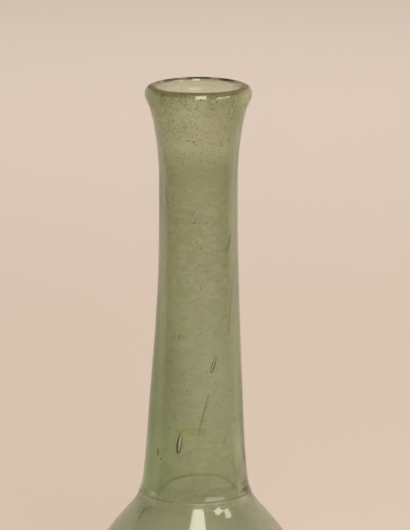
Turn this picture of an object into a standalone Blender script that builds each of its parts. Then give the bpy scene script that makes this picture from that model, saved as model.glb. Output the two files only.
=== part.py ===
"""Free-blown glass vial: a round body under a tall tapering neck with a flared, fire-rounded lip.

It is one piece of glass, hollow and open at the mouth. Metres, +Z up, with the origin in the middle of
the underside, on the surface that the vial stands on. Run it with Blender 4.5.
"""

import math

import bmesh
import bpy

# Underside
REST_RADIUS = 0.0175  # middle of the flat ring that the vial stands on
REST_WIDTH = 0.0020
KICK_HEIGHT = 0.0030  # how far the middle of the underside is pushed up
FLOOR_MIDDLE = 0.0032  # glass over the kick
FLOOR_EDGE = 0.0040  # glass over the resting ring

# Body, with heights from the surface that it stands on
HEEL_RADIUS = 0.0270
HEEL_HEIGHT = 0.0094
BELLY_RADIUS = 0.0310
BELLY_HEIGHT = 0.0250
SHOULDER_RADIUS = 0.0178
SHOULDER_DROP = 0.0060  # from the crease down to where the shoulder spreads most
SHOULDER_LEAN = 42.0  # degrees in from the vertical, as on the crease
BODY_HEIGHT = 0.0610  # up to the crease that a tool left between body and neck

# Crease
CREASE_RADIUS = 0.01402
CREASE_LEAN = 18.0
CREASE_WIDTH = 0.0008
CREASE_DEPTH = 0.00025

# Neck
ROOT_RADIUS = 0.01318
ROOT_HEIGHT = 0.0042  # above the crease, where the neck's even taper starts
ROOT_LEAN = 6.0
WAIST_RADIUS = 0.00985
WAIST_HEIGHT = 0.0800  # above the crease, where the neck is narrowest
NECK_BEND = 0.00085  # how far its upper half has drifted sideways

# Mouth
LIP_RADIUS = 0.01335
FLARE_HEIGHT = 0.0238  # from the waist to the top of the lip
LIP_WIDTH = 0.0022
LIP_CROWN = 0.0020  # height of the lip's top over its widest line

# Wall, measured square to the outside
HEEL_WALL = 0.0026
BELLY_WALL = 0.0019
SHOULDER_WALL = 0.0024
CREASE_WALL = 0.0034
ROOT_WALL = 0.0033
LOWER_NECK_WALL = 0.0028
UPPER_NECK_WALL = 0.0023
WAIST_WALL = 0.0020
FLARE_WALL = 0.0019

# Sides of every ring of the mesh
SIDES = 44

GLASS_COLOUR = (0.42, 0.50, 0.33, 1.0)
GLASS_ROUGHNESS = 0.04
GLASS_IOR = 1.52
GLASS_TRANSMISSION = 0.95

# The free curves of neck and flare: share of the height, and share of the change in radius done by there
LOWER_NECK_SHARES = (0.29, 0.45)
UPPER_NECK_SHARES = (0.69, 0.92)
LOWER_FLARE_SHARES = (0.41, 0.15)
UPPER_FLARE_SHARES = (0.83, 0.64)

# Headings of a line on the section, in degrees, turning from up towards outwards
UP, OUT, DOWN, IN = 0.0, 90.0, 180.0, 270.0
RING_SLOPE_OUTSIDE = 28.0  # degrees from the flat, where the heel leaves the resting ring
RING_SLOPE_INSIDE = 22.0


def part_way(start, end, shares):
    """The point at the given shares of the height and of the radius between two points."""
    height_share, radius_share = shares
    radius = start[0] + (end[0] - start[0]) * radius_share
    height = start[1] + (end[1] - start[1]) * height_share
    return (radius, height)


def towards(start, end):
    """Heading of the straight line between two points."""
    return math.degrees(math.atan2(end[0] - start[0], end[1] - start[1]))


def knot(point, heading):
    """A point of the section, and the heading with which the line passes it."""
    return (point[0], point[1], heading)


def aimed(before, point, after):
    """A knot whose heading is that of the circle through the three points."""
    length_in, length_out = math.dist(before, point), math.dist(point, after)
    heading_in, heading_out = towards(before, point), towards(point, after)
    heading = (heading_in * length_out + heading_out * length_in) / (length_in + length_out)
    return knot(point, heading)


def behind(outer_knot, wall):
    """The knot of the inner wall behind one of the outside, passed on the way down."""
    radius, height, heading = outer_knot
    lean = math.radians(heading)
    return knot((radius - wall * math.cos(lean), height + wall * math.sin(lean)), heading + DOWN)


def sweep(start, end, steps):
    """Points from one knot to the next, the last left out, on a curve close to an arc."""
    turn = math.radians((end[2] - start[2] + 180.0) % 360.0 - 180.0)
    reach = math.dist(start[:2], end[:2]) / (3.0 * math.cos(turn / 4.0) ** 2)
    leave, arrive = math.radians(start[2]), math.radians(end[2])
    first = (start[0] + reach * math.sin(leave), start[1] + reach * math.cos(leave))
    second = (end[0] - reach * math.sin(arrive), end[1] - reach * math.cos(arrive))
    points = []
    for step in range(steps):
        t = step / steps
        weights = ((1 - t) ** 3, 3 * t * (1 - t) ** 2, 3 * t * t * (1 - t), t**3)
        corners = (start[:2], first, second, end[:2])
        points.append(tuple(sum(w * c[axis] for w, c in zip(weights, corners)) for axis in (0, 1)))
    return points


def run(*path):
    """Points through knots, each followed by the steps to the next. The last knot is left out."""
    points = []
    for place in range(0, len(path) - 2, 2):
        points += sweep(path[place], path[place + 2], path[place + 1])
    return points


RING_INNER = (REST_RADIUS - REST_WIDTH / 2, 0.0)
RING_OUTER = (REST_RADIUS + REST_WIDTH / 2, 0.0)
ROOT_POINT = (ROOT_RADIUS, BODY_HEIGHT + ROOT_HEIGHT)
WAIST_POINT = (WAIST_RADIUS, BODY_HEIGHT + WAIST_HEIGHT)
LIP_POINT = (LIP_RADIUS, BODY_HEIGHT + WAIST_HEIGHT + FLARE_HEIGHT - LIP_CROWN)
LOWER_NECK_POINT = part_way(ROOT_POINT, WAIST_POINT, LOWER_NECK_SHARES)
UPPER_NECK_POINT = part_way(ROOT_POINT, WAIST_POINT, UPPER_NECK_SHARES)
LOWER_FLARE_POINT = part_way(WAIST_POINT, LIP_POINT, LOWER_FLARE_SHARES)
UPPER_FLARE_POINT = part_way(WAIST_POINT, LIP_POINT, UPPER_FLARE_SHARES)

BELLY = knot((BELLY_RADIUS, BELLY_HEIGHT), UP)
HEEL = aimed(RING_OUTER, (HEEL_RADIUS, HEEL_HEIGHT), BELLY[:2])
SHOULDER = knot((SHOULDER_RADIUS, BODY_HEIGHT - SHOULDER_DROP), -SHOULDER_LEAN)
CREASE = knot((CREASE_RADIUS, BODY_HEIGHT), -CREASE_LEAN)
ROOT = knot(ROOT_POINT, -ROOT_LEAN)
LOWER_NECK = aimed(ROOT_POINT, LOWER_NECK_POINT, UPPER_NECK_POINT)
UPPER_NECK = aimed(LOWER_NECK_POINT, UPPER_NECK_POINT, WAIST_POINT)
WAIST = knot(WAIST_POINT, UP)
LOWER_FLARE = aimed(WAIST_POINT, LOWER_FLARE_POINT, UPPER_FLARE_POINT)
UPPER_FLARE = aimed(LOWER_FLARE_POINT, UPPER_FLARE_POINT, LIP_POINT)
LIP_OUTSIDE = knot(LIP_POINT, UP)
LIP_TOP = knot((LIP_RADIUS - LIP_WIDTH / 2, LIP_POINT[1] + LIP_CROWN), IN)
LIP_INSIDE = knot((LIP_RADIUS - LIP_WIDTH, LIP_POINT[1]), DOWN)


def underside():
    """From the middle of the kick out to the flat ring."""
    kick = knot((0.0, KICK_HEIGHT), OUT)
    return run(kick, 5, knot(RING_INNER, OUT + RING_SLOPE_INSIDE)) + [RING_INNER]


def beside_crease(side):
    """The edge of the crease below (-1) or above (+1) its bottom, on the line of the wall."""
    lean = math.radians(CREASE[2])
    half = side * CREASE_WIDTH / 2
    point = (CREASE[0] + half * math.sin(lean), CREASE[1] + half * math.cos(lean))
    return knot(point, CREASE[2])


def body_outside():
    """From the flat ring up to the lower edge of the crease."""
    ring = knot(RING_OUTER, OUT - RING_SLOPE_OUTSIDE)
    return run(ring, 5, HEEL, 5, BELLY, 9, SHOULDER, 4, beside_crease(-1))


def crease():
    """The lower edge of the crease, and its bottom."""
    lean = math.radians(CREASE[2])
    bottom = (CREASE[0] - CREASE_DEPTH * math.cos(lean), CREASE[1] + CREASE_DEPTH * math.sin(lean))
    return [beside_crease(-1)[:2], bottom]


def neck_outside():
    """From the upper edge of the crease to the widest line of the lip."""
    lower = run(beside_crease(1), 3, ROOT, 4, LOWER_NECK, 4, UPPER_NECK, 3, WAIST)
    return lower + run(WAIST, 3, LOWER_FLARE, 4, UPPER_FLARE, 4, LIP_OUTSIDE)


def lip():
    """Over the rounded lip, from its widest line to the bore."""
    return run(LIP_OUTSIDE, 5, LIP_TOP, 5, LIP_INSIDE)


def neck_inside():
    """Down the bore, from the lip to the level of the crease."""
    upper_flare, lower_flare = behind(UPPER_FLARE, FLARE_WALL), behind(LOWER_FLARE, FLARE_WALL)
    waist, upper_neck = behind(WAIST, WAIST_WALL), behind(UPPER_NECK, UPPER_NECK_WALL)
    lower_neck, root = behind(LOWER_NECK, LOWER_NECK_WALL), behind(ROOT, ROOT_WALL)
    upper = run(LIP_INSIDE, 3, upper_flare, 3, lower_flare, 3, waist)
    return upper + run(waist, 3, upper_neck, 3, lower_neck, 3, root, 3, behind(CREASE, CREASE_WALL))


def body_inside():
    """Round the inside of the body, and in to the middle of its floor."""
    crease_back, shoulder = behind(CREASE, CREASE_WALL), behind(SHOULDER, SHOULDER_WALL)
    belly, heel = behind(BELLY, BELLY_WALL), behind(HEEL, HEEL_WALL)
    edge, middle = knot((REST_RADIUS, FLOOR_EDGE), IN), knot((0.0, KICK_HEIGHT + FLOOR_MIDDLE), IN)
    walls = run(crease_back, 4, shoulder, 8, belly, 5, heel, 4, edge)
    return walls + run(edge, 5, middle) + [middle[:2]]


def bend_at(height):
    """How far sideways the neck's axis lies: nothing up to the crease, all of it by the upper neck."""
    share = (height - BODY_HEIGHT) / (UPPER_NECK_POINT[1] - BODY_HEIGHT)
    share = min(max(share, 0.0), 1.0)
    return NECK_BEND * share * share * (3.0 - 2.0 * share)


def turned_mesh(name, section):
    """The closed shape that the section, from axis to axis, makes when it is turned about Z."""
    shape = bmesh.new()
    corners = [shape.verts.new((radius, 0.0, height)) for radius, height in section]
    edges = [shape.edges.new(pair) for pair in zip(corners, corners[1:])]
    bmesh.ops.spin(
        shape,
        geom=corners + edges,
        cent=(0.0, 0.0, 0.0),
        axis=(0.0, 0.0, 1.0),
        angle=math.tau,
        steps=SIDES,
        use_merge=True,
    )
    bmesh.ops.remove_doubles(shape, verts=shape.verts, dist=1e-6)
    for corner in shape.verts:
        corner.co.x += bend_at(corner.co.z)
    bmesh.ops.recalc_face_normals(shape, faces=shape.faces)
    mesh = bpy.data.meshes.new(name)
    shape.to_mesh(mesh)
    shape.free()
    return mesh


def green_glass():
    material = bpy.data.materials.new("green_glass")
    material.use_nodes = True
    shader = material.node_tree.nodes["Principled BSDF"]
    shader.inputs["Base Color"].default_value = GLASS_COLOUR
    shader.inputs["Metallic"].default_value = 0.0
    shader.inputs["Roughness"].default_value = GLASS_ROUGHNESS
    shader.inputs["IOR"].default_value = GLASS_IOR
    shader.inputs["Transmission Weight"].default_value = GLASS_TRANSMISSION
    return material


def build():
    for old in list(bpy.data.objects):
        bpy.data.objects.remove(old)
    section = underside() + body_outside() + crease() + neck_outside() + lip()
    section += neck_inside() + body_inside()
    mesh = turned_mesh("vial", section)
    mesh.materials.append(green_glass())
    mesh.shade_smooth()
    vial = bpy.data.objects.new("vial", mesh)
    bpy.context.scene.collection.objects.link(vial)


build()
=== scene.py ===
"""The glass vial as it looks: free-blown grey-green glass with bubbles in its wall and an old film inside.

Metres, +Z up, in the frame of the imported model, whose front faces -Y. Run it with Blender 4.5.
"""

import math
import random

import bpy
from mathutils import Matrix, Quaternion, Vector


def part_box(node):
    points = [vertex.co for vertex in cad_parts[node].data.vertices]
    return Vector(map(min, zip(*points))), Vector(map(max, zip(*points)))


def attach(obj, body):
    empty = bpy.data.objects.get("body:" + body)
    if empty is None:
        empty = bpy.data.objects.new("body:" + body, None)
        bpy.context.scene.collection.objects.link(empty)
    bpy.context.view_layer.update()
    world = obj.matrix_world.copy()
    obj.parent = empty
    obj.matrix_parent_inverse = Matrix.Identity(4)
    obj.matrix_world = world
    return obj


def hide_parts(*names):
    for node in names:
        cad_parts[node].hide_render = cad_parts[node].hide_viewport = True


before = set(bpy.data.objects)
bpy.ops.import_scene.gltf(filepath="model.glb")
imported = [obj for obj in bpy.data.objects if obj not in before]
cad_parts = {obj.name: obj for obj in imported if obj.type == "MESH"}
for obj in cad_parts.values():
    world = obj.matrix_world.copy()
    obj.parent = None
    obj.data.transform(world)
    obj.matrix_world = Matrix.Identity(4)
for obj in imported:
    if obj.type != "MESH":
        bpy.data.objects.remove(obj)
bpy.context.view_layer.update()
node_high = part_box("vial")[1]

MM = 0.001

# Sizes of the glass, in millimetres. A place on the section is its radius and its height, and leans are in
# degrees.

# Underside
REST_RADIUS = 17.5
REST_WIDTH = 2.0
RING_ROUNDING = 0.12
KICK_HEIGHT = 3.0
FLOOR_MIDDLE = 3.2
FLOOR_EDGE = 4.0
SCAR_RADIUS = 5.2  # the rough ring where the rod that held the base was broken off
SCAR_WIDTH = 1.6
SCAR_HEIGHT = 0.4
SCAR_LEANS = (5.0, 8.0)  # slope of the underside inside the scar and outside it
RING_LEANS = (14.0, 16.0)  # its slope at the inner and the outer edge of the ring

# Body
HEEL = (27.0, 9.4)
BELLY = (node_high.x / MM, 25.0)
SHOULDER = (17.8, 55.0)
SHOULDER_LEAN = 42.0
CREASE = (14.02, 61.0)
CREASE_LEAN = 18.0
CREASE_WIDTH = 1.0
CREASE_DEPTH = 0.07

# Neck and mouth
ROOT = (13.18, 65.2)
ROOT_LEAN = 6.0
LOWER_NECK = (11.68, 87.2)
UPPER_NECK = (10.12, 117.5)
WAIST = (9.85, 141.0)
LOWER_FLARE = (10.38, 149.9)
UPPER_FLARE = (12.09, 159.0)
LIP_RADIUS = 13.35
LIP_WIDTH = 2.8
LIP_CROWN = 2.0
LIP_PEAK = 1.75  # how far in from the outside the crown of the lip lies
LIP_INNER_DROP = 1.2
LIP_LEVEL = node_high.z / MM - LIP_CROWN
NECK_BEND = 0.85

# Wall, square to the outside
HEEL_WALL = 2.6
BELLY_WALL = 1.9
SHOULDER_WALL = 2.4
CREASE_WALL = 3.4
ROOT_WALL = 3.3
LOWER_NECK_WALL = 2.8
UPPER_NECK_WALL = 2.15
WAIST_WALL = 1.85
LOWER_FLARE_WALL = 1.8
UPPER_FLARE_WALL = 1.7

# What the hand left. A swell is its depth, its length across the wall, and how much it is drawn out upwards.
LOWER_BORE_SHIFT = 0.55  # how far the bore lies to the right of the middle, low in the neck
LOWER_BORE = (62.0, 96.0, 12.0)  # the heights that this holds for, and how softly it ends
UPPER_BORE_SHIFT = -0.08
UPPER_BORE = (122.0, 158.0, 8.0)
MOUTH_SHIFT = 0.45  # how far it lies to the back, at the mouth
INNER_SWELL = (0.4, 11.0, 1.6)
INNER_CORDS = (0.06, 3.0, 9.0)
OUTER_SWELL = (0.08, 14.0, 1.5)
LIP_SWELL = (0.25, 14.0, 1.0)

SECTION_STEPS = 8  # points from one knot of the section to the next
TURN_STEPS = 200

UP, OUT, DOWN, IN = 0.0, 90.0, 180.0, 270.0  # headings of the section's line, in degrees

# Camera, from the shapes of the rim's and the crease's ellipses
VIEW_CENTRE = Vector((0.0025, 0.0, 0.1190))
VIEW_DISTANCE = 0.829
VIEW_TILT = 13.0
LENS = 225.0


def towards(start, end):
    """Heading of the straight line from one place to another."""
    return math.degrees(math.atan2(end[0] - start[0], end[1] - start[1]))


def knot(place, heading):
    return (place[0], place[1], heading)


def aimed(before, place, after):
    """A knot whose heading is that of the circle through the three places."""
    way_in, way_out = math.dist(before[:2], place[:2]), math.dist(place[:2], after[:2])
    heading_in, heading_out = towards(before, place), towards(place, after)
    return knot(place, (heading_in * way_out + heading_out * way_in) / (way_in + way_out))


def behind(outer_knot, wall):
    """The knot of the inner wall behind one of the outside, passed on the way down."""
    lean = math.radians(outer_knot[2])
    place = (outer_knot[0] - wall * math.cos(lean), outer_knot[1] + wall * math.sin(lean))
    return knot(place, outer_knot[2] + DOWN)


def beside_crease(side, depth=0.0):
    """The lower (-1) or upper (+1) edge of the crease, or its bottom (0)."""
    lean = math.radians(-CREASE_LEAN)
    radius = CREASE[0] + side * CREASE_WIDTH / 2 * math.sin(lean) - depth * math.cos(lean)
    height = CREASE[1] + side * CREASE_WIDTH / 2 * math.cos(lean) + depth * math.sin(lean)
    return knot((radius, height), -CREASE_LEAN)


def outside_knots():
    """From the middle of the underside, round the foot, and up to the crown of the lip."""
    ring_inner = (REST_RADIUS - REST_WIDTH / 2, RING_ROUNDING)
    ring_outer = (REST_RADIUS + REST_WIDTH / 2, RING_ROUNDING)
    lip = (LIP_RADIUS, LIP_LEVEL)
    scar_outer = SCAR_RADIUS + SCAR_WIDTH
    kick_slope = KICK_HEIGHT * (SCAR_RADIUS / REST_RADIUS) ** 2
    return [
        knot((0.0, KICK_HEIGHT), OUT),
        knot((SCAR_RADIUS - SCAR_WIDTH, KICK_HEIGHT - kick_slope / 3), OUT + SCAR_LEANS[0]),
        knot((SCAR_RADIUS, KICK_HEIGHT - kick_slope - SCAR_HEIGHT), OUT),
        knot((scar_outer, KICK_HEIGHT - kick_slope * (scar_outer / SCAR_RADIUS) ** 2), OUT + SCAR_LEANS[1]),
        knot(ring_inner, OUT + RING_LEANS[0]),
        knot((REST_RADIUS, 0.0), OUT),
        knot(ring_outer, OUT - RING_LEANS[1]),
        aimed(ring_outer, HEEL, BELLY),
        knot(BELLY, UP),
        knot(SHOULDER, -SHOULDER_LEAN),
        beside_crease(-1),
        beside_crease(0, CREASE_DEPTH),
        beside_crease(1),
        knot(ROOT, -ROOT_LEAN),
        aimed(ROOT, LOWER_NECK, UPPER_NECK),
        aimed(LOWER_NECK, UPPER_NECK, WAIST),
        knot(WAIST, UP),
        aimed(WAIST, LOWER_FLARE, UPPER_FLARE),
        aimed(LOWER_FLARE, UPPER_FLARE, lip),
        knot(lip, UP),
        knot((LIP_RADIUS - LIP_PEAK, LIP_LEVEL + LIP_CROWN), IN),
    ]


def inside_knots():
    """From the inner edge of the lip, down the bore and round the body, in to the middle of its floor."""
    lip = (LIP_RADIUS, LIP_LEVEL)
    return [
        knot((LIP_RADIUS - LIP_WIDTH, LIP_LEVEL + LIP_CROWN - LIP_INNER_DROP), DOWN),
        behind(aimed(LOWER_FLARE, UPPER_FLARE, lip), UPPER_FLARE_WALL),
        behind(aimed(WAIST, LOWER_FLARE, UPPER_FLARE), LOWER_FLARE_WALL),
        behind(knot(WAIST, UP), WAIST_WALL),
        behind(aimed(LOWER_NECK, UPPER_NECK, WAIST), UPPER_NECK_WALL),
        behind(aimed(ROOT, LOWER_NECK, UPPER_NECK), LOWER_NECK_WALL),
        behind(knot(ROOT, -ROOT_LEAN), ROOT_WALL),
        behind(knot(CREASE, -CREASE_LEAN), CREASE_WALL),
        behind(knot(SHOULDER, -SHOULDER_LEAN), SHOULDER_WALL),
        behind(knot(BELLY, UP), BELLY_WALL),
        behind(aimed((REST_RADIUS, 0.0), HEEL, BELLY), HEEL_WALL),
        knot((REST_RADIUS, FLOOR_EDGE), IN),
        knot((0.0, KICK_HEIGHT + FLOOR_MIDDLE), IN),
    ]


def deselect():
    if bpy.context.object and bpy.context.object.mode != "OBJECT":
        bpy.ops.object.mode_set(mode="OBJECT")
    bpy.ops.object.select_all(action="DESELECT")


def take(piece):
    """Make a piece the only one selected, and the active one."""
    deselect()
    piece.select_set(True)
    bpy.context.view_layer.objects.active = piece
    return piece


def settle(piece):
    """Put a piece's place, turn and size into its mesh."""
    take(piece)
    bpy.ops.object.transform_apply(location=True, rotation=True, scale=True)
    return piece


def reach(start, end):
    """Length of the handles that make a curve between two knots run close to an arc."""
    turn = math.radians((end[2] - start[2] + 180.0) % 360.0 - 180.0)
    return math.dist(start[:2], end[:2]) / (3.0 * math.cos(turn / 4.0) ** 2)


def along(place, length):
    """The point that lies that length on from a knot, along its heading, in the XZ plane."""
    heading = math.radians(place[2])
    radius, height = place[0] + length * math.sin(heading), place[1] + length * math.cos(heading)
    return Vector((radius, 0.0, height)) * MM


def draw_section(name, knots):
    """A curve through the knots, in the XZ plane."""
    deselect()
    bpy.ops.curve.primitive_bezier_curve_add(enter_editmode=False)
    curve = bpy.context.object
    curve.name = name
    line = curve.data.splines[0]
    line.bezier_points.add(len(knots) - len(line.bezier_points))
    line.resolution_u = SECTION_STEPS
    for place, point in zip(knots, line.bezier_points):
        point.handle_left_type = point.handle_right_type = "FREE"
        point.co = point.handle_left = point.handle_right = along(place, 0.0)
    for start, end, first, second in zip(knots, knots[1:], line.bezier_points, line.bezier_points[1:]):
        length = reach(start, end)
        first.handle_right = along(start, length)
        second.handle_left = along(end, -length)
    return curve


def turn_glass():
    """The closed wall of glass: its section turned about the upright axis."""
    wall = draw_section("blown_vial", outside_knots() + inside_knots())
    bpy.ops.object.convert(target="MESH")
    bpy.ops.object.mode_set(mode="EDIT")
    bpy.ops.mesh.select_all(action="SELECT")
    bpy.ops.mesh.spin(steps=TURN_STEPS, angle=math.tau, center=(0, 0, 0), axis=(0, 0, 1))
    bpy.ops.mesh.select_all(action="SELECT")
    bpy.ops.mesh.remove_doubles(threshold=0.002 * MM)
    bpy.ops.mesh.normals_make_consistent(inside=False)
    bpy.ops.object.mode_set(mode="OBJECT")
    bpy.ops.object.shade_smooth()
    return wall


def pick(piece, wanted):
    """Select the corners of a piece that answer to wanted, and leave it in edit mode."""
    take(piece)
    bpy.ops.object.mode_set(mode="EDIT")
    bpy.ops.mesh.select_all(action="DESELECT")
    bpy.ops.object.mode_set(mode="OBJECT")
    for corner in piece.data.vertices:
        corner.select = wanted(corner)
    bpy.ops.object.mode_set(mode="EDIT")


def lean_neck(wall):
    """Draw the upper neck sideways, with a smooth drift that starts at the crease."""
    top = UPPER_NECK[1] * MM
    pick(wall, lambda corner: corner.co.z > top)
    bpy.ops.transform.translate(
        value=(NECK_BEND * MM, 0.0, 0.0),
        use_proportional_edit=True,
        proportional_edit_falloff="SMOOTH",
        proportional_size=top - CREASE[1] * MM,
    )
    bpy.ops.object.mode_set(mode="OBJECT")


def ease(value, start, end):
    """0 before start, 1 after end and a smooth step between them. start may be the higher."""
    share = min(max((value - start) / (end - start), 0.0), 1.0)
    return share * share * (3.0 - 2.0 * share)


def faces_bore(corner):
    """1 on the inner wall and 0 on the outside, with a smooth change over the lip."""
    x, y, z = corner.co
    outwards = Vector((x, y, 0.0)).normalized()
    if z < HEEL[1] * MM:
        return ease(corner.normal.z, -0.3, 0.3)
    return ease(-corner.normal.dot(outwards), -0.3, 0.7)


def weigh(piece, name, share):
    """A vertex group whose weight at each corner is the share given there."""
    group = piece.vertex_groups.new(name=name)
    for corner in piece.data.vertices:
        group.add([corner.index], share(corner), "REPLACE")
    return name


def push(piece, group, strength, grain=0.0, stretch=1.0, direction="NORMAL", middle=0.5):
    """Move a group of corners: evenly, or by a cloudy pattern of that grain, drawn out upwards by stretch."""
    take(piece)
    bpy.ops.object.modifier_add(type="DISPLACE")
    displace = piece.modifiers[-1]
    displace.vertex_group = group
    displace.direction = direction
    displace.strength = strength * MM
    displace.mid_level = middle if grain else 0.0
    guide = None
    if grain:
        displace.texture = bpy.data.textures.new(f"{group}_{grain}", "CLOUDS")
        displace.texture.noise_scale = grain * MM
        displace.texture.noise_depth = 2
        bpy.ops.object.empty_add(location=(grain * MM, strength * MM, 0.0))
        guide = bpy.context.object
        guide.scale.z = stretch
        displace.texture_coords = "OBJECT"
        displace.texture_coords_object = guide
        take(piece)
    bpy.ops.object.modifier_apply(modifier=displace.name)
    if guide:
        bpy.data.objects.remove(guide)


def between(height, low, high, soft):
    """1 from one height of the glass to another, both in millimetres, with soft ends."""
    return ease(height / MM, low - soft, low + soft) * (1.0 - ease(height / MM, high - soft, high + soft))


def work_glass(wall):
    """What the hand left: a bore off the middle, uneven walls, drawn-out cords and a lip that isn't level."""
    inside = weigh(wall, "inside", faces_bore)
    outside = weigh(wall, "outside", lambda corner: 1.0 - faces_bore(corner))
    lower_bore = weigh(wall, "lower_bore", lambda c: faces_bore(c) * between(c.co.z, *LOWER_BORE))
    upper_bore = weigh(wall, "upper_bore", lambda c: faces_bore(c) * between(c.co.z, *UPPER_BORE))
    mouth = weigh(wall, "mouth", lambda c: faces_bore(c) * ease(c.co.z / MM, LOWER_FLARE[1], UPPER_FLARE[1]))
    lip = weigh(wall, "lip", lambda c: ease(c.co.z / MM, UPPER_FLARE[1], LIP_LEVEL))
    push(wall, lower_bore, LOWER_BORE_SHIFT, direction="X")
    push(wall, upper_bore, UPPER_BORE_SHIFT, direction="X")
    push(wall, mouth, MOUTH_SHIFT, direction="Y")
    push(wall, inside, *INNER_SWELL)
    push(wall, inside, *INNER_CORDS)
    push(wall, outside, *OUTER_SWELL, middle=0.7)
    push(wall, lip, *LIP_SWELL, direction="Z", middle=1.0)


def mark_inside(wall):
    """An attribute that tells the material which side of the glass a face is on."""
    marks = wall.data.attributes.new("inner_wall", "FLOAT", "POINT")
    group = wall.vertex_groups["inside"]
    for corner in wall.data.vertices:
        marks.data[corner.index].value = group.weight(corner.index)
    wall.vertex_groups.clear()


# Bubbles in the wall: side, in degrees round to the right of the front, and height of the lower end, the same
# of the upper end, and width
BUBBLES = (
    (51.0, 123.5, 60.5, 128.5, 0.80),
    (51.3, 102.6, 66.5, 118.6, 0.34),
    (-24.0, 101.9, -22.5, 103.5, 0.45),
    (22.3, 93.6, 29.9, 97.6, 0.90),
    (4.0, 78.0, 18.9, 88.6, 0.36),
    (-22.0, 72.9, -18.5, 78.1, 1.35),
    (-58.2, 54.9, -57.6, 57.3, 0.85),
    (-58.3, 134.3, -68.3, 139.4, 0.36),
    (-54.0, 133.0, -64.0, 137.6, 0.30),
    (-50.8, 145.7, -59.3, 152.9, 0.32),
    (62.5, 147.2, 65.0, 151.8, 0.34),
    (46.0, 160.6, 49.0, 163.2, 0.24),
    (52.0, 158.4, 52.5, 162.6, 0.20),
    (-150.0, 84.0, -146.0, 88.0, 0.70),
    (128.0, 70.5, 131.0, 73.5, 0.80),
    (172.0, 112.0, 166.0, 119.0, 0.26),
    (110.0, 46.0, 112.0, 49.5, 0.60),
    (-105.0, 30.0, -104.0, 32.5, 0.70),
    (-12.0, 24.0, -10.0, 27.0, 0.55),
    (64.0, 36.0, 66.0, 38.0, 0.50),
)
BUBBLE_ROUND, BUBBLE_RINGS = 24, 14
BUBBLE_TAIL = 0.8  # how far the upper end is drawn out, as a share of the bubble's radius
TAIL_REACH = 1.8  # how far down that is felt, in the same measure
SEED_ROUND, SEED_RINGS = 8, 6
SEED_COUNT = 170
SEED_LOWEST, SEED_HIGHEST = 9.0, 159.0
SEED_WIDTHS = (0.10, 0.16, 0.34)  # least, commonest and most
SEED_LENGTHS = (1.0, 2.2)  # least and most, in widths
SEED_DEPTHS = (0.3, 0.7)  # from the bore, at 0, to the outside, at 1


def blow_bubble(name, segments, rings):
    """A bubble one millimetre in radius, drawn out at its upper end. Its faces point into its air."""
    deselect()
    bpy.ops.mesh.primitive_uv_sphere_add(segments=segments, ring_count=rings, radius=MM, location=(0, 0, 0))
    bubble = bpy.context.object
    bubble.name = name
    pick(bubble, lambda corner: corner.co.z > 0.95 * MM)
    bpy.ops.transform.translate(
        value=(0.0, 0.0, BUBBLE_TAIL * MM),
        use_proportional_edit=True,
        proportional_edit_falloff="SMOOTH",
        proportional_size=TAIL_REACH * MM,
    )
    bpy.ops.mesh.select_all(action="SELECT")
    bpy.ops.transform.translate(value=(0.0, 0.0, -BUBBLE_TAIL / 2 * MM))
    bpy.ops.transform.resize(value=(1.0, 1.0, 2.0 / (2.0 + BUBBLE_TAIL)))
    bpy.ops.mesh.flip_normals()
    bpy.ops.object.mode_set(mode="OBJECT")
    bpy.ops.object.shade_smooth()
    return bubble


def in_wall(wall, side, height, depth=0.5):
    """A place in the glass at that side and height. depth goes from 0, at the bore, to 1, at the outside."""
    across = math.radians(side)
    way = Vector((math.sin(across), -math.cos(across), 0.0))
    now = bpy.context.evaluated_depsgraph_get()
    inner = wall.ray_cast(Vector((0.0, 0.0, height * MM)), way, depsgraph=now)[1]
    outer = wall.ray_cast(inner + way * 0.05 * MM, way, depsgraph=now)[1]
    return inner.lerp(outer, depth)


def set_bubble(model, low, high, width):
    """A copy of a bubble, stretched between two places."""
    take(model)
    bpy.ops.object.duplicate(linked=False)
    bubble = bpy.context.object
    bubble.location = (low + high) / 2
    bubble.rotation_euler = (high - low).to_track_quat("Z", "Y").to_euler()
    bubble.scale = (width / 2, width / 2, (high - low).length / MM / 2)
    return settle(bubble)


def add_bubbles(wall):
    """Air that was caught in the glass and drawn out with it."""
    bubble = blow_bubble("bubble", BUBBLE_ROUND, BUBBLE_RINGS)
    seed = blow_bubble("seed", SEED_ROUND, SEED_RINGS)
    air = []
    for low_side, low, high_side, high, width in BUBBLES:
        ends = in_wall(wall, low_side, low), in_wall(wall, high_side, high)
        air.append(set_bubble(bubble, *ends, width))
    chance = random.Random(11)
    for _ in range(SEED_COUNT):
        side, height = chance.uniform(-180.0, 180.0), chance.uniform(SEED_LOWEST, SEED_HIGHEST)
        width = chance.triangular(SEED_WIDTHS[0], SEED_WIDTHS[2], SEED_WIDTHS[1])
        middle = in_wall(wall, side, height, chance.uniform(*SEED_DEPTHS))
        half = Vector((0.0, 0.0, width / 2 * chance.uniform(*SEED_LENGTHS))) * MM
        air.append(set_bubble(seed, middle - half, middle + half, width))
    for model in (bubble, seed):
        bpy.data.objects.remove(model)
    take(wall)
    for piece in air:
        piece.select_set(True)
    bpy.ops.object.join()


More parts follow.
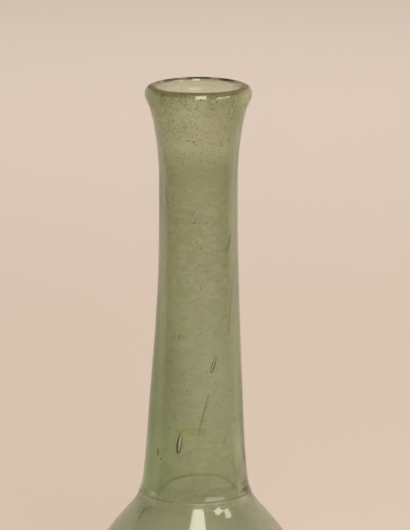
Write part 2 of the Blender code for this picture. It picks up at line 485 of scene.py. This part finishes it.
class Wire:
    """A socket in a material. Arithmetic on it adds Math nodes, and add() any other node."""

    def __init__(self, tree, socket=None):
        self.tree = tree
        self.socket = socket

    def add(self, kind, settings=None, sockets=None, output=0):
        """A new node: its settings, then the values or wires of its sockets, and the output that is used."""
        node = self.tree.nodes.new("ShaderNode" + kind)
        for name, value in (settings or {}).items():
            setattr(node, name, value)
        for name, value in (sockets or {}).items():
            if isinstance(value, Wire):
                self.tree.links.new(value.socket, node.inputs[name])
            else:
                node.inputs[name].default_value = value
        return Wire(self.tree, node.outputs[output] if len(node.outputs) else None)

    def math(self, operation, first, second=0.0):
        return self.add("Math", {"operation": operation}, {0: first, 1: second})

    def __add__(self, other):
        return self.math("ADD", self, other)

    __radd__ = __add__

    def __sub__(self, other):
        return self.math("SUBTRACT", self, other)

    def __rsub__(self, other):
        return self.math("SUBTRACT", other, self)

    def __mul__(self, other):
        return self.math("MULTIPLY", self, other)

    __rmul__ = __mul__

    def __truediv__(self, other):
        return self.math("DIVIDE", self, other)

    def __abs__(self):
        return self.math("ABSOLUTE", self)

    def other(self, output):
        """Another output of the node that this wire comes from."""
        return Wire(self.tree, self.socket.node.outputs[output])

    def vector(self, operation, second=(0.0, 0.0, 0.0), output=0):
        return self.add("VectorMath", {"operation": operation}, {0: self, 1: second}, output)

    def part(self, axis):
        """The X, Y or Z of a place, as 0, 1 or 2."""
        return self.add("SeparateXYZ", None, {0: self}, axis)

    def eased(self, start, end, low=0.0, high=1.0):
        """low before start, high after end and a smooth step between them."""
        return self.add(
            "MapRange",
            {"interpolation_type": "SMOOTHSTEP"},
            {"Value": self, "From Min": start, "From Max": end, "To Min": low, "To Max": high},
        )

    def band(self, low, high, soft):
        """1 between two values and 0 outside them, with soft ends."""
        return self.eased(low - soft, low + soft) * self.eased(high + soft, high - soft)

    def clouds(self, grain, detail=2.0, roughness=0.5):
        """Noise from 0 to 1 at a place, with features of about that many millimetres."""
        sockets = {"Vector": self, "Scale": 1.0 / (grain * MM), "Detail": detail, "Roughness": roughness}
        return self.add("TexNoise", None, sockets)

    def spots(self, cell, radius, share):
        """Spots of up to that radius, in millimetres, in that share of the cells of a pattern."""
        gap = self.add("TexVoronoi", {"feature": "F1"}, {"Vector": self, "Scale": 1.0 / (cell * MM)})
        luck = self.add("SeparateColor", None, {0: gap.other(1)})
        size = (0.45 + 0.55 * luck.other(1)) * (radius / cell)
        return (gap / size).eased(1.15, 0.75) * self.math("LESS_THAN", luck, share)

    def mark(self, middle, half_size):
        """1 in an oval round a place, in millimetres, fading out at its edge."""
        way = self.vector("SUBTRACT", tuple(Vector(middle) * MM))
        way = way.vector("DIVIDE", tuple(Vector(half_size) * MM))
        return way.vector("LENGTH", output=1).eased(1.15, 0.7)

    def mixed(self, share, first, second):
        """A colour that goes from the first to the second as share goes from 0 to 1."""
        return self.add("Mix", {"data_type": "RGBA"}, {0: share, 6: first, 7: second}, output=2)

    def stained(self, share, tint):
        """A colour multiplied by a tint, in that share."""
        settings = {"data_type": "RGBA", "blend_type": "MULTIPLY"}
        return self.add("Mix", settings, {0: share, 6: self, 7: tint}, output=2)

    def most(self, *others):
        """The highest of several values."""
        highest = self
        for other in others:
            highest = self.math("MAXIMUM", highest, other)
        return highest


def new_material(name):
    """A material with only its output node, and a wire to build it from."""
    material = bpy.data.materials.new(name)
    material.use_nodes = True
    material.node_tree.nodes.clear()
    return material, Wire(material.node_tree)


GLASS_IOR = 1.52
GLASS_DEPTH_COLOUR = (0.868, 0.905, 0.837, 1.0)
GLASS_DEPTH_DENSITY = 880.0
GLASS_ROUGHNESS = 0.08

# Colours of the light that passes clean glass, films and stains
CLEAN = (1.0, 1.0, 1.0, 1.0)
NECK_FILM = (0.52, 0.54, 0.36, 1.0)
FLARE_FILM = (0.69, 0.67, 0.47, 1.0)
SMUDGE = (0.77, 0.76, 0.55, 1.0)
SIDE_STAIN = (0.72, 0.70, 0.50, 1.0)
OCHRE_STAIN = (0.74, 0.60, 0.32, 1.0)
LIP_TINT = (0.74, 0.56, 0.48, 1.0)
YELLOW_STAIN = (0.85, 0.85, 0.35, 1.0)

# Colours of what hides the glass: haze and painted light, dirt and painted shade, and rust
HAZE_AND_LIGHT_COLOUR = (0.60, 0.55, 0.42, 1.0)
DIRT_AND_SHADE_COLOUR = (0.12, 0.095, 0.05, 1.0)
RUST_COLOUR = (0.38, 0.20, 0.06, 1.0)

# Places of films, stains and marks, in millimetres. A mark is its middle and its half size.
TIDE = 146.0  # the height that the old contents stood at
SCUM_LEVEL = 131.6
YELLOW_MARK = ((-0.9, -10.0, 78.3), (4.2, 4.0, 1.3))
RUST_MARK = ((-7.8, -4.1, 71.8), (0.36, 0.6, 0.95))
SMEAR = ((-5.5, -7.6, 157.5), (1.1, 1.5, 1.0))
DARK_MARKS = (  # each with how far it hides the glass
    ((-7.3, -5.2, 70.3), (0.4, 0.5, 0.32), 0.60),
    ((8.7, -4.5, 80.2), (0.4, 0.6, 0.20), 0.60),
    ((-1.5, -8.6, 152.4), (0.9, 1.0, 0.14), 0.60),
    ((-0.1, -8.8, 152.2), (0.26, 1.0, 0.26), 0.70),
    ((-0.1, -7.7, SCUM_LEVEL), (0.30, 1.0, 0.30), 0.70),
)


def film_on(place, inside, sideways, front):
    """The see-through film inside: a colour for the light that passes the inner wall."""
    height = place.part(2) / MM
    level = height + (place.clouds(6.0) - 0.5) * 3.0
    flattened = place.vector("MULTIPLY", (1.0, 1.0, 1.6))
    mottle = flattened.clouds(2.0, detail=6.0, roughness=0.75).eased(0.32, 0.68, 0.45, 1.50)

    # In the neck it thickens upwards, and most of all where the old contents stood
    thick = level.eased(80.0, 150.0, 0.46, 0.93) * level.eased(52.0, 62.0, 0.45, 1.0)
    thick = thick + 0.16 * level.band(TIDE - 8.0, TIDE + 1.0, 1.5) + 0.07 * level.band(60.0, 76.0, 4.0)
    neck = place.mixed(thick * mottle, CLEAN, NECK_FILM)

    # In the flare it is thinner and browner, and smudged towards the lip and at the sides
    flare = place.mixed(mottle * (0.35 + 0.65 * front), CLEAN, FLARE_FILM)
    smudge = height.eased(150.0, 160.0) * front
    smudge = smudge * place.clouds(3.0, detail=4.0, roughness=0.6).eased(0.42, 0.62)
    corner = height.eased(149.0, 160.0) * abs(sideways).eased(0.20, 0.70) * front
    corner = corner * place.clouds(2.0, detail=4.0, roughness=0.6).eased(0.34, 0.58)
    flare = flare.stained(smudge, SMUDGE).stained(corner, SMUDGE)
    film = place.mixed(level.eased(TIDE - 1.5, TIDE + 1.5), neck, flare)

    # Stains in runs down the sides
    runs = place.vector("MULTIPLY", (1.0, 1.0, 0.12)).clouds(0.9, detail=3.0)
    left = sideways.eased(-0.66, -0.86) * level.band(80.0, 147.0, 6.0)
    right = sideways.eased(0.74, 0.90) * level.band(118.0, 146.0, 4.0)
    low_right = sideways.band(0.84, 0.93, 0.04) * level.band(82.0, 118.0, 3.0)
    streaks = sideways.band(0.55, 0.92, 0.06) * level.band(150.0, 164.0, 2.0) * front
    film = film.stained(left * runs.eased(0.30, 0.60, 0.3, 0.8), SIDE_STAIN)
    film = film.stained(right * runs.eased(0.35, 0.60, 0.3, 1.0), OCHRE_STAIN)
    film = film.stained(low_right * runs.eased(0.35, 0.55, 0.1, 0.6), OCHRE_STAIN)
    film = film.stained(streaks * runs.eased(0.50, 0.66), OCHRE_STAIN)

    yellow = place.mark(*YELLOW_MARK) * place.clouds(1.0, detail=3.0).eased(0.38, 0.60)
    film = film.stained(yellow, YELLOW_STAIN)
    # A pinkish-brown tint over the lip's crown, inside and out.
    rim = (height + (place.clouds(2.0) - 0.5) * 0.4).eased(163.3, 164.1)
    return place.mixed(inside, CLEAN, film).stained(rim, LIP_TINT)


def grit_on(place, sideways, front):
    """Grains and crust on the inner wall, most of them near the lip and on the left."""
    height = place.part(2) / MM
    dense = height.eased(143.0, 158.0, 0.05, 1.0) * sideways.eased(0.75, 0.15, 0.40, 1.0)
    dense = dense * place.clouds(4.0, detail=3.0).eased(0.36, 0.56, 0.12, 1.0)
    fine = place.spots(0.46, 0.22, 0.02 + 0.95 * dense)
    coarse = place.spots(1.3, 0.26, 0.03 + 0.16 * height.band(110.0, 163.0, 8.0))
    crust = place.clouds(0.7, detail=4.0, roughness=0.75).eased(0.50, 0.70) * dense
    grit = (fine * 0.45).most(coarse * 0.36, crust * 0.52)
    return grit * height.eased(64.0, 78.0) * height.eased(163.8, 163.2) * (0.35 + 0.65 * front)


def scum_on(place, front):
    """A thin bowed line that dried on the inner wall."""
    height = place.part(2) / MM
    x = place.part(0) / MM
    bowed = height + x * x * 0.035 + (place.clouds(1.6) - 0.5) * 1.2
    scum = (bowed - SCUM_LEVEL).band(-0.11, 0.11, 0.09) * x.band(-5.1, 7.2, 0.8) * front
    return scum * place.clouds(0.9).eased(0.40, 0.62, 0.04, 0.40)


def crease_shade_on(place, sideways, front):
    """Painted shade: a dark line in the crease's groove, and a little of it below the crease's ends."""
    above = place.part(2) / MM - CREASE[1]
    crease_shade = above.band(-0.13, 0.13, 0.12) * place.clouds(3.0).eased(0.30, 0.60, 0.40, 0.75)
    crease_shade = crease_shade * front.most(sideways.eased(0.35, -0.55, 0.25, 1.0))
    crease_shade = crease_shade * (0.35 + 0.65 * sideways.band(-0.85, 0.85, 0.12))
    return crease_shade.most(above.band(-1.9, -0.5, 0.5) * abs(sideways).eased(0.66, 0.86, 0.0, 0.17))


def dirt_and_shade_on(place, inside, sideways, front):
    """Where dirt and painted shade hide the glass: grit, scum and marks inside, painted shade in the crease
    outside, and painted shade along the lip's crown.
    """
    height = place.part(2) / MM
    smear = place.mark(*SMEAR) * place.clouds(0.6).eased(0.40, 0.60, 0.0, 0.4)
    marks = [place.mark(middle, half_size) * share for middle, half_size, share in DARK_MARKS]
    within = grit_on(place, sideways, front).most(scum_on(place, front), smear, *marks)
    # Painted shade: a dark band along the lip's crown, strongest at the front.
    rim = height.eased(164.15, 164.45) * place.clouds(4.0, detail=3.0).eased(0.36, 0.56, 0.20, 0.50)
    rim = rim * (0.40 + 0.90 * front)
    return (within * inside).most(crease_shade_on(place, sideways, front) * (1 - inside), rim)


def haze_and_light_on(place, inside, sideways, front):
    """A pale cover: a bloom in the flare, and painted light on the back of the rim and outside at the right
    foot of the neck, paling the dark lines the glass shows there.
    """
    height = place.part(2) / MM
    flare = height.eased(145.0, 152.0, 0.0, 0.035) * inside * front
    # Painted light: a pale cover on the back of the lip's crown, paling its dark line.
    back_rim = height.eased(164.0, 164.4) * (1 - front) * place.clouds(5.0).eased(0.40, 0.60, 0.12, 0.42)
    # Painted light: a pale cover outside at the right foot of the neck, paling a dark smear there.
    foot = height.band(63.5, 68.5, 1.5) * sideways.eased(0.88, 0.96, 0.0, 0.24) * (1 - inside)
    return flare.most(back_rim, foot)


def dullness_on(place, inside):
    """What is added to the roughness: inside, in the body and up the neck, and outside, below the crease."""
    height = place.part(2) / MM
    ragged = height + (place.clouds(5.0, detail=3.0) - 0.5) * 3.0
    dull = height.eased(60.5, 57.0, 0.03, 0.22) + ragged.eased(71.0, 80.0, 0.0, 0.17)
    dull = dull + height.eased(147.0, 157.0, 0.0, 0.06)
    worn = (height - CREASE[1]).band(-0.5, 0.15, 0.15) * (1 - inside) * 0.3
    return dull * height.eased(164.2, 163.2) * inside + worn


def old_glass():
    """Clear glass that absorbs with depth, under a cover of dirt, haze and rust where there is any, and of
    painted shade and painted light in a few places.
    """
    material, glass = new_material("old_glass")
    place = glass.add("TexCoord", output=3)
    inside = glass.add("Attribute", {"attribute_name": "inner_wall"}, output=2)
    outwards = place.vector("SUBTRACT", (0.7 * NECK_BEND * MM, 0.0, 0.0)).vector("MULTIPLY", (1.0, 1.0, 0.0))
    outwards = outwards.vector("NORMALIZE")
    sideways, front = outwards.part(0), outwards.part(1).eased(0.35, -0.15)

    clear = glass.add(
        "BsdfPrincipled",
        None,
        {
            "Base Color": film_on(place, inside, sideways, front),
            "Roughness": GLASS_ROUGHNESS + dullness_on(place, inside),
            "IOR": GLASS_IOR,
            "Transmission Weight": 1.0,
        },
    )
    dirt_and_shade = dirt_and_shade_on(place, inside, sideways, front)
    haze_and_light = haze_and_light_on(place, inside, sideways, front)
    rust = place.mark(*RUST_MARK) * inside
    # The cover's colour: pale haze and painted light where the mask is low, dark dirt and painted shade where
    # it is high.
    colour = glass.mixed(dirt_and_shade.eased(0.0, 0.25), HAZE_AND_LIGHT_COLOUR, DIRT_AND_SHADE_COLOUR)
    cover = glass.add(
        "BsdfPrincipled",
        None,
        {"Base Color": glass.mixed(rust, colour, RUST_COLOUR), "Roughness": 0.85, "Specular IOR Level": 0.2},
    )
    surface = glass.add("MixShader", None, {0: haze_and_light.most(dirt_and_shade, rust * 0.6), 1: clear, 2: cover})
    depth = glass.add(
        "VolumeAbsorption", None, {"Color": GLASS_DEPTH_COLOUR, "Density": GLASS_DEPTH_DENSITY}
    )
    glass.add("OutputMaterial", None, {"Surface": surface, "Volume": depth})
    return material


FLOOR_COLOUR = (0.745, 0.645, 0.582, 1.0)
FLOOR_DROP = 0.0001
FLOOR_RADIUS = 1.6
FLOOR_SIDES = 96
GLOW_COLOUR = (0.73, 0.575, 0.455, 1.0)
DIM_COLOUR = (0.08, 0.072, 0.062, 1.0)


def lay_floor():
    """A pale round floor, wide enough to fill the view from any side."""
    deselect()
    bpy.ops.mesh.primitive_circle_add(
        vertices=FLOOR_SIDES, radius=FLOOR_RADIUS, fill_type="NGON", location=(0.0, 0.0, -FLOOR_DROP)
    )
    floor = bpy.context.object
    floor.name = "pale_floor"
    settle(floor)
    material, paint = new_material("pale_paper")
    surface = paint.add("BsdfPrincipled", None, {"Base Color": FLOOR_COLOUR, "Roughness": 0.9})
    paint.add("OutputMaterial", None, {"Surface": surface})
    floor.data.materials.append(material)


def aim_light(
    name, side, height, distance, size, power, colour, turn=0.0, target=(0.0, 0.0, 0.1), spread=180.0
):
    """A soft panel. side and height are its angles from its target: round to the camera's right, and up."""
    deselect()
    across, up = math.radians(side), math.radians(height)
    way = Vector((math.sin(across) * math.cos(up), -math.cos(across) * math.cos(up), math.sin(up)))
    bpy.ops.object.light_add(type="AREA", location=Vector(target) + way * distance)
    light = bpy.context.object
    light.name = name
    roll = Quaternion((0.0, 0.0, 1.0), math.radians(turn))
    light.rotation_euler = ((-way).to_track_quat("-Z", "Y") @ roll).to_euler()
    light.data.shape = "RECTANGLE"
    light.data.size, light.data.size_y = size
    light.data.energy = power
    light.data.spread = math.radians(spread)
    light.data.color = colour


def light_room():
    """The room beyond the floor: a pale glow low down, brightest behind and at the sides, and dim above."""
    world = bpy.data.worlds.new("room")
    world.use_nodes = True
    bpy.context.scene.world = world
    world.node_tree.nodes.clear()
    room = Wire(world.node_tree)
    way = room.add("TexCoord")
    across, back, up = way.part(0), way.part(1), way.part(2)
    glow = up.eased(0.62, 0.40) * back.eased(-0.6, 0.5, 0.45, 1.0)
    colour = room.mixed(glow, DIM_COLOUR, GLOW_COLOUR)
    sides = 1 + 0.35 * across + 0.62 * abs(across)
    light = room.add("Background", None, {"Color": colour, "Strength": sides})
    room.add("OutputWorld", None, {"Surface": light})


def light_studio():
    """Windows that the glass mirrors, and a panel over the far floor that lights the background."""
    aim_light(
        "window_high", side=7.0, height=50.0, distance=1.3,
        size=(0.45, 0.99), power=14.0, colour=(1.0, 0.94, 0.80),
    )
    aim_light(
        "window_right", side=50.0, height=32.5, distance=1.5,
        size=(0.36, 0.36), power=3.6, colour=(1.0, 0.95, 0.84), turn=45.0,
    )
    aim_light(
        "window_far_right", side=72.0, height=34.0, distance=1.5,
        size=(0.28, 0.44), power=3.0, colour=(1.0, 0.90, 0.72), turn=-32.0,
    )
    aim_light(
        "window_low", side=43.0, height=13.0, distance=1.8,
        size=(1.4, 0.28), power=3.8, colour=(0.80, 0.90, 1.0),
    )
    aim_light(
        "floor_light", side=180.0, height=90.0, distance=1.3,
        size=(1.4, 1.0), power=2.75, colour=(1.0, 1.0, 0.98), target=(0.0, 1.06, 0.0), spread=78.0,
    )


def place_camera():
    deselect()
    tilt = math.radians(VIEW_TILT)
    back = Vector((0.0, -math.cos(tilt), math.sin(tilt)))
    bpy.ops.object.camera_add(
        location=VIEW_CENTRE + back * VIEW_DISTANCE, rotation=(math.pi / 2 - tilt, 0.0, 0.0)
    )
    camera = bpy.context.object
    camera.data.lens = LENS
    bpy.context.scene.camera = camera


vial = turn_glass()
work_glass(vial)
lean_neck(vial)
mark_inside(vial)
add_bubbles(vial)
vial.data.materials.clear()
vial.data.materials.append(old_glass())
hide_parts("vial")
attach(vial, "root")

lay_floor()
light_room()
light_studio()
place_camera()
bpy.context.scene.view_settings.view_transform = "Standard"
